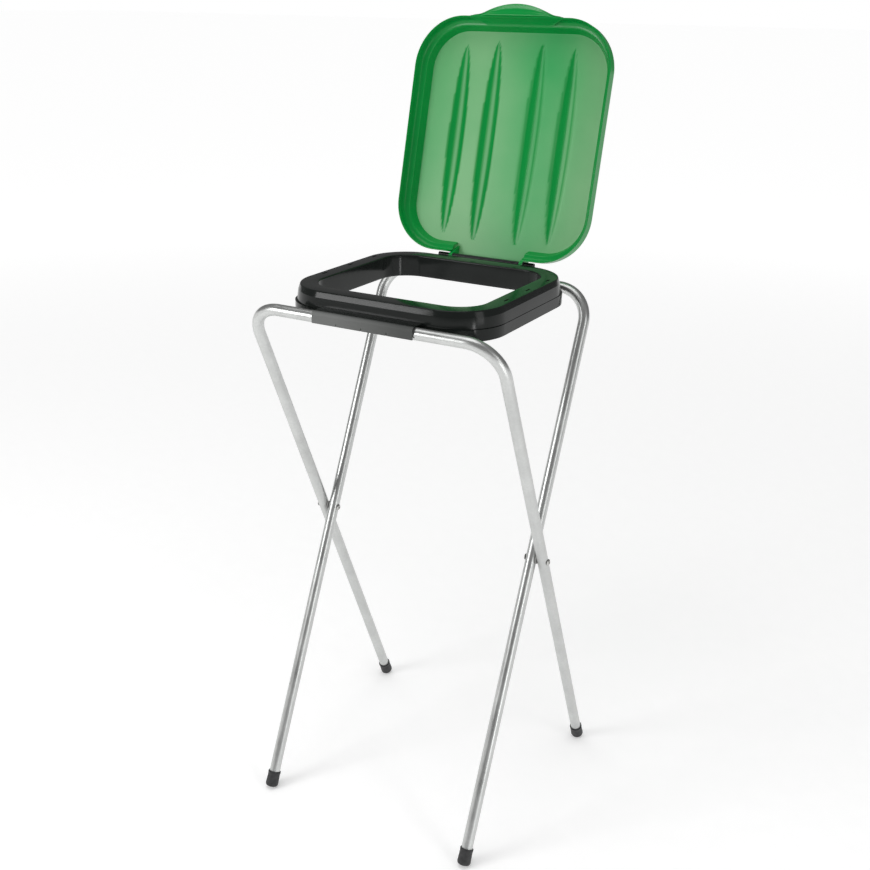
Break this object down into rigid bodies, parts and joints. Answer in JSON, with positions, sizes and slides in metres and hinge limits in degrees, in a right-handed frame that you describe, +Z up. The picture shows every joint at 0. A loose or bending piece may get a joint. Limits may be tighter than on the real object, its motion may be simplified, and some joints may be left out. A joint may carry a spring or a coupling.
{
  "type": "bin bag holder",
  "caption": "Folding stand of crossed tube frames that holds a refuse sack open in a moulded ring, with a ribbed lid hinged at the rear.",
  "frame": {"origin": "on the floor under the middle of the ring mouth", "axes": "+X to the right, +Y to the rear where the lid is hinged, +Z up"},
  "size_m": [0.4414, 0.5053, 1.2748],
  "materials": {
    "plated_tube": "zinc plated",
    "rivet_steel": "zinc plated",
    "spacer_plastic": "as moulded",
    "foot_rubber": "matt",
    "black_moulding": "glossy",
    "green_moulding": "glossy, slightly translucent"
  },
  "bodies": {
    "rear_frame": {"rear_leg_frame": "plated_tube", "foot_front_left": "foot_rubber", "foot_front_right": "foot_rubber", "pivot_rivet_left": "rivet_steel", "pivot_rivet_right": "rivet_steel", "pivot_spacer_left": "spacer_plastic", "pivot_spacer_right": "spacer_plastic"},
    "front_frame": {"front_leg_frame": "plated_tube", "foot_rear_left": "foot_rubber", "foot_rear_right": "foot_rubber"},
    "ring": {"base_ring": "black_moulding", "clamp_ring": "black_moulding"},
    "lid": {"lid": "green_moulding"}
  },
  "joints": [
    {"name": "frame_fold", "type": "hinge", "parent": "rear_frame", "child": "front_frame", "pos_m": [0, 0, 0.45465], "axis": [-1, 0, 0], "range_deg": [0, 46]},
    {"name": "ring_lift", "type": "hinge", "parent": "rear_frame", "child": "ring", "pos_m": [0, 0.18, 0.85], "axis": [-1, 0, 0], "range_deg": [0, 115]},
    {"name": "lid_close", "type": "hinge", "parent": "ring", "child": "lid", "pos_m": [0, 0.1818, 0.8773], "axis": [1, 0, 0], "range_deg": [0, 103.8]}
  ],
  "couplings": [
    {"joint": "ring_lift", "follows": "frame_fold", "ratio": 2.5}
  ]
}
